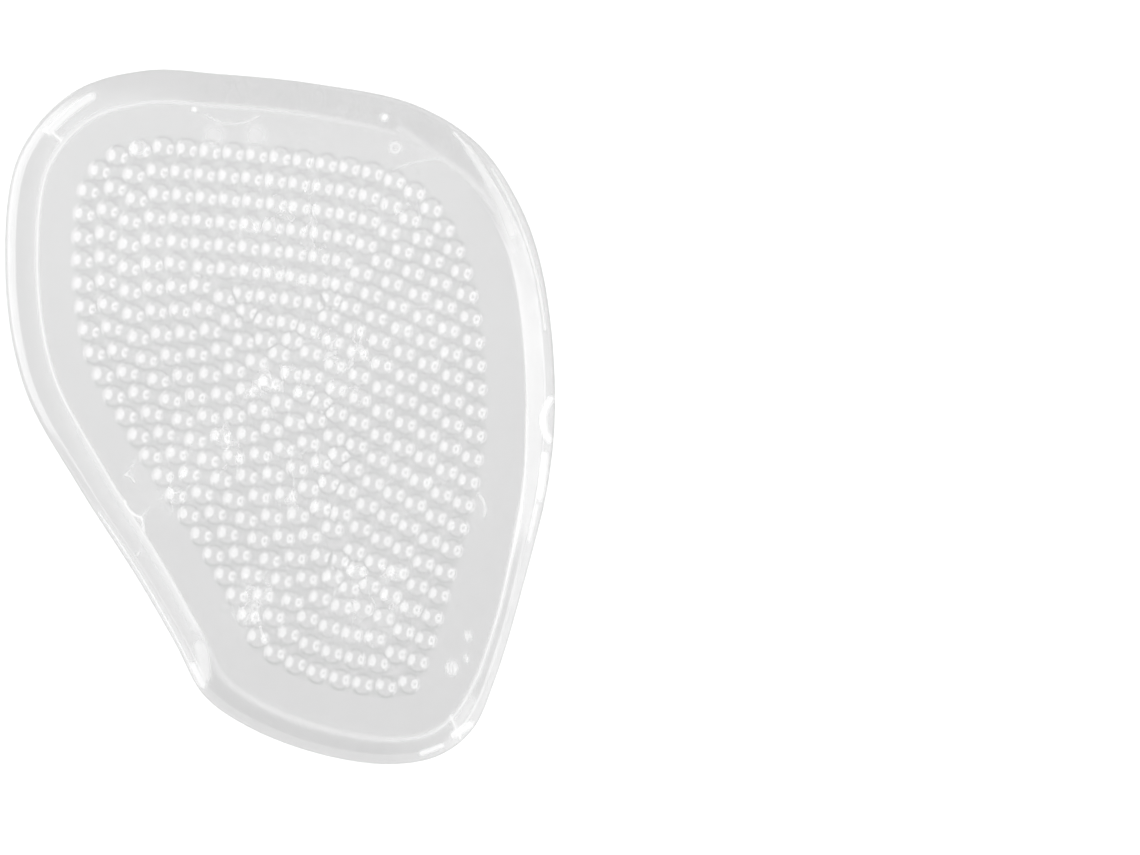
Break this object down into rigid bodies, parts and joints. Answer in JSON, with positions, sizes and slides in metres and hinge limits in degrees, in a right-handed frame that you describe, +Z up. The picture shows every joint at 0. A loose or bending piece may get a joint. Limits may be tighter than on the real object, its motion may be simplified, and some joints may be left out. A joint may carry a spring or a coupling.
{
  "type": "metatarsal pad",
  "caption": "Flat teardrop pad of clear soft gel with a sloped rim and rows of small massage nubs on top.",
  "frame": {"origin": "middle of the pad's box, on the plane of its flat underside", "axes": "+Z up through the nubs, +Y towards the toes along the pad's length, +X across the pad to the side opposite the cut-away arch side"},
  "size_m": [0.07, 0.0884, 0.0037],
  "materials": {
    "clear_gel": "clear, glossy, slightly tacky gel"
  },
  "bodies": {
    "root": {"gel_pad": "clear_gel"}
  },
  "joints": []
}
